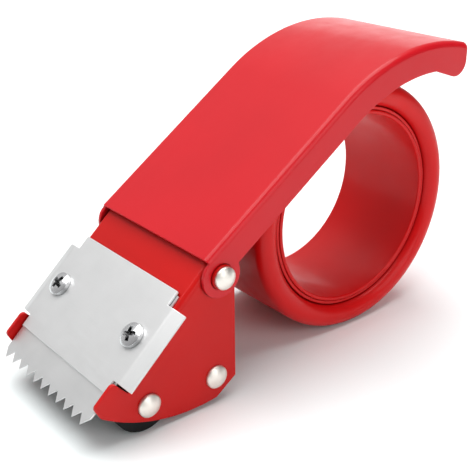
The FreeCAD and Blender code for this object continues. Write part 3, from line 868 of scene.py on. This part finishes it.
# %% Blade with ground teeth
blade_half = reach("blade", Y)[1]
tip_ahead = pivot.x / mm - reach("blade", X)[0]
tip = (tip_ahead - blade_top * sin(seat_slope)) / cos(seat_slope)
tooth_pitch, tooth_depth, grind_run, edge_left, blade_back = 4.0, 2.7, 4.4, 0.12, 10.4
teeth = round(2 * blade_half / tooth_pitch)
ground_from = tip - grind_run


def blade_point(along, across, top):
    """Point of the blade on its flat top, or on its underside, which is ground near the teeth."""
    grind = max(0.0, along - ground_from) * (blade_thick - edge_left) / grind_run
    return on_seat(along, across, blade_top if top else seat_top + grind)


front_line = []
for tooth in range(2 * teeth + 1):
    across = -blade_half + tooth * blade_half / teeth
    front_line.append((tip if tooth % 2 else tip - tooth_depth, across))
rear_line = [(blade_back, blade_half), (blade_back, -blade_half)]
ground_line = [(ground_from, blade_half), (ground_from, -blade_half)]
blade_line = front_line + ground_line[:1] + rear_line + ground_line[1:]
count = len(blade_line)
blade_points = [blade_point(*spot, top) for top in (True, False) for spot in blade_line]
blade_faces = [(k, (k + 1) % count, count + (k + 1) % count, count + k) for k in range(count)]
teeth_end = len(front_line)
ground_face = [count + k for k in (*range(teeth_end + 1), count - 1)]
plain_face = [count + k for k in (teeth_end, teeth_end + 1, teeth_end + 2, count - 1)]
blade_faces += [list(range(count)), ground_face, plain_face]
blade_mesh = cut(closed_mesh("blade", blade_points, blade_faces), *drills)
finished_edges(stand_in("blade_piece", "blade", blade_mesh), width=0.02 * mm, sharp=30.0)
print("teeth", teeth, "tip at", round(tip, 2))

# %% [markdown]
# ## The clamp plate
# The clamp is plated strip that holds the blade down. A wing is bent past each cheek, and the
# ends are narrower. One section with its bends is laid at four places down the slope and joined
# into a surface, which is thickened as the handle was.

# %% Clamp plate with its wings
clamp_back, wing_back, wing_front, clamp_front = 9.5, 13.6, 36.0, 39.7
stations = (clamp_back, wing_back, wing_front, clamp_front)
wing_inset, bend_radius, wing_bend, wing_flat, neck_gap = 0.35, 3.0, 22.0, 3.4, 1.2
bend_from, neck_half = cheek - wing_inset, inside - neck_gap
bend_steps = 6
turns = [radians(wing_bend * k / bend_steps) for k in range(bend_steps + 1)]
wing = [(bend_from + bend_radius * sin(a), clamp_top - bend_radius * (1 - cos(a))) for a in turns]
bend_end, fall = wing[-1], turns[-1]
wing.append((bend_end[0] + wing_flat * cos(fall), bend_end[1] - wing_flat * sin(fall)))
half_section = [(neck_half, clamp_top)] + wing
section = [(-across, off) for across, off in reversed(half_section)] + half_section
plate_points = [on_seat(along, across, off) for along in stations for across, off in section]
width, neck = len(section), len(half_section) - 1


def plate_face(station, k):
    """Face from one station to the next, between two points of the section."""
    first, second = station * width + k, (station + 1) * width + k
    return (first, first + 1, second + 1, second)


plate_faces = [plate_face(1, k) for k in range(width - 1)]
plate_faces += [plate_face(0, neck), plate_face(2, neck)]
plate = closed_mesh("clamp_surface", plate_points, plate_faces)
if plate.polygons[0].normal.dot(up) < 0:
    plate.flip_normals()
plate = worked(plate, "SOLIDIFY", thickness=clamp_thick * mm, offset=-1.0, use_even_offset=True)
finished_edges(stand_in("clamp_piece", "clamp_plate", cut(plate, *drills)), width=0.14 * mm)
print("clamp faces", len(plate.polygons))

# %% [markdown]
# ## The screws
# Each screw is a pan head with a cross recess on a threaded rod. The recess is pressed with a
# tapered punch, so a tapered cross is cut out and its edges are rounded a little. The thread is
# built as rows of points whose radius follows the helix. The two heads stop at different turns,
# as they do when they are tightened by hand.

# %% Screws with a cross recess and a cut thread
def threaded(radius, depth, pitch, low, high, foot, axis, steps=40):
    """Closed rod with a helical thread."""
    turn = Vector(axis).to_track_quat("Z", "Y").to_matrix()
    rows_per_pitch = 8
    levels = int((high - low) / pitch * rows_per_pitch)
    points, faces = [], []
    for level in range(levels + 1):
        height = low + (high - low) * level / levels
        for step in range(steps):
            phase = (height / pitch - step / steps) % 1.0
            r = radius - depth * abs(2 * phase - 1)
            a = 2 * pi * step / steps
            points.append(foot + turn @ Vector((r * cos(a), r * sin(a), height)) * mm)
    for level in range(levels):
        here, there = level * steps, (level + 1) * steps
        faces += [(here + k, here + (k + 1) % steps, there + (k + 1) % steps, there + k)
                  for k in range(steps)]
    faces += [list(range(steps)), list(range(levels * steps, (levels + 1) * steps))]
    return closed_mesh("thread", points, faces)


def cross_cutter(foot, direction, top, depth):
    """Tapered cross, wide at the top of a screw head and narrow at its bottom."""
    side = up.cross(direction)
    above = 0.4
    points = []
    for level, span, width in ((top + above, 2.6, 0.66), (top - depth, 1.0, 0.40)):
        spots = [(span, -width), (span, width), (width, width),
                 (width, span), (-width, span), (-width, width)]
        spots += [(-a, -b) for a, b in spots]
        points += [foot + (direction * a + side * b + up * level) * mm for a, b in spots]
    count = len(spots)
    faces = [(k, (k + 1) % count, count + (k + 1) % count, count + k) for k in range(count)]
    faces += [list(range(count)), list(range(count, 2 * count))]
    return closed_mesh("cross", points, faces)


nut_top = seat_top - sheet - washer_thick
nut_height, tail_below, screw_turns = 2.4, 0.9, (24.0, 70.0)
screw_head, screw_rim, screw_dome, cross_depth = 3.3, 1.15, 0.75, 1.6
thread_radius, thread_depth, thread_pitch, into_head = 1.75, 0.3, 0.6, 0.05
nut_foot = nut_top - nut_height
head_top = clamp_top + screw_rim + screw_dome
screw_ends = nut_foot - tail_below, clamp_top + into_head
head_side = dome(screw_head, clamp_top, screw_rim, screw_dome, steps=14)
head = soft([(0, clamp_top, 0)] + head_side, size=0.3)
screws = []
for foot, angle in zip(screw_feet, screw_turns):
    direction = -down * cos(radians(angle)) + Vector(along_y) * sin(radians(angle))
    head_mesh = turned("screw_head", head, foot, up, steps=96)
    head_mesh = cut(head_mesh, cross_cutter(foot, direction, head_top, cross_depth))
    head_mesh = without_slivers(head_mesh, 0.02 * mm)
    head_mesh = worked(head_mesh, "BEVEL", width=0.06 * mm, segments=3, limit_method="ANGLE",
                       angle_limit=radians(38.0), use_clamp_overlap=True)
    head_mesh = without_slivers(head_mesh, 0.004 * mm)
    rod = threaded(thread_radius, thread_depth, thread_pitch, *screw_ends, foot, up)
    screws += [head_mesh, rod]
stand_in("screw_pieces", "clamp_screws", joined("screws", screws))
print("screw rods, mm:", [round(v, 2) for v in screw_ends], "heads up to", round(head_top, 2))

# %% [markdown]
# ## The nuts
# A nut and a washer hold each screw under the seat. The corners of a nut are turned off above
# and below, so its section changes round the axis: it is built section by section, where a
# washer is simply turned.

# %% Nuts and washers under the seat
def nut(foot, low, high, flats=6.0, inner=1.79):
    """Hexagonal nut with its corners turned off above and below."""
    slope_down, round_from, steps = tan(radians(30)), flats / 2 * 1.01, 72
    chamfer, dip = 0.25, 0.02
    points, faces = [], []
    turn = up.to_track_quat("Z", "Y").to_matrix()
    for step in range(steps):
        a = 2 * pi * step / steps
        outer = flats / 2 / cos((a + pi / 6) % (pi / 3) - pi / 6)
        lower = max(0.0, outer - round_from) * slope_down
        section = [(inner + chamfer, low), (min(outer, round_from), low),
                   (outer, low + lower + dip), (outer, high - lower - dip),
                   (min(outer, round_from), high), (inner + chamfer, high),
                   (inner, high - chamfer), (inner, low + chamfer)]
        points += [foot + turn @ Vector((r * cos(a), r * sin(a), d)) * mm for r, d in section]
    count = len(section)
    for step in range(steps):
        here, there = step * count, (step + 1) % steps * count
        faces += [(here + k, there + k, there + (k + 1) % count, here + (k + 1) % count)
                  for k in range(count)]
    return closed_mesh("nut", points, faces)


nuts = joined("nuts", [nut(foot, nut_foot, nut_top) for foot in screw_feet])
stand_in("nut_pieces", "clamp_nuts", nuts)
under = tube_outline(washer_radius, screw_hole, nut_top, nut_top + washer_thick, size=0.1)
nut_washers = [turned("nut_washer", under, foot, up, steps=72) for foot in screw_feet]
stand_in("nut_washer_pieces", "clamp_nut_washers", joined("nut_washers", nut_washers))
print("nuts, mm off the pivot's line:", round(nut_foot, 2), "to", round(nut_top, 2))

# %% [markdown]
# ## The head
# The head is one pressed sheet with many outlines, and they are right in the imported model. So
# the quickest good piece is a copy of it: its triangles are joined back into the flats they
# came from, and every sharp edge gets a narrow rounded bevel, which catches the light as the
# painted edge of a sheet does.

# %% Rounded copy of the head
def rounded_copy(node, width, sharp=25.0, steps=3):
    """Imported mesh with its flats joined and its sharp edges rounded."""
    shape = bmesh.new()
    shape.from_mesh(frame["nodes"][node].data)
    weld, same_flat = 1e-6, radians(0.4)
    bmesh.ops.remove_doubles(shape, verts=shape.verts, dist=weld)
    bmesh.ops.dissolve_limit(shape, angle_limit=same_flat, verts=shape.verts, edges=shape.edges)
    edges = [e for e in shape.edges if e.is_manifold and e.calc_face_angle() > radians(sharp)]
    bmesh.ops.bevel(
        shape, geom=edges, offset=width, segments=steps, profile=0.5, affect="EDGES",
        clamp_overlap=True, offset_type="OFFSET", miter_outer="SHARP",
    )
    mesh = bpy.data.meshes.new(node + "_rounded")
    shape.to_mesh(mesh)
    shape.free()
    print(node, "faces", len(mesh.polygons), "edges rounded", len(edges))
    return mesh


stand_in("head_piece", "head_frame", rounded_copy("head_frame", width=0.16 * mm))
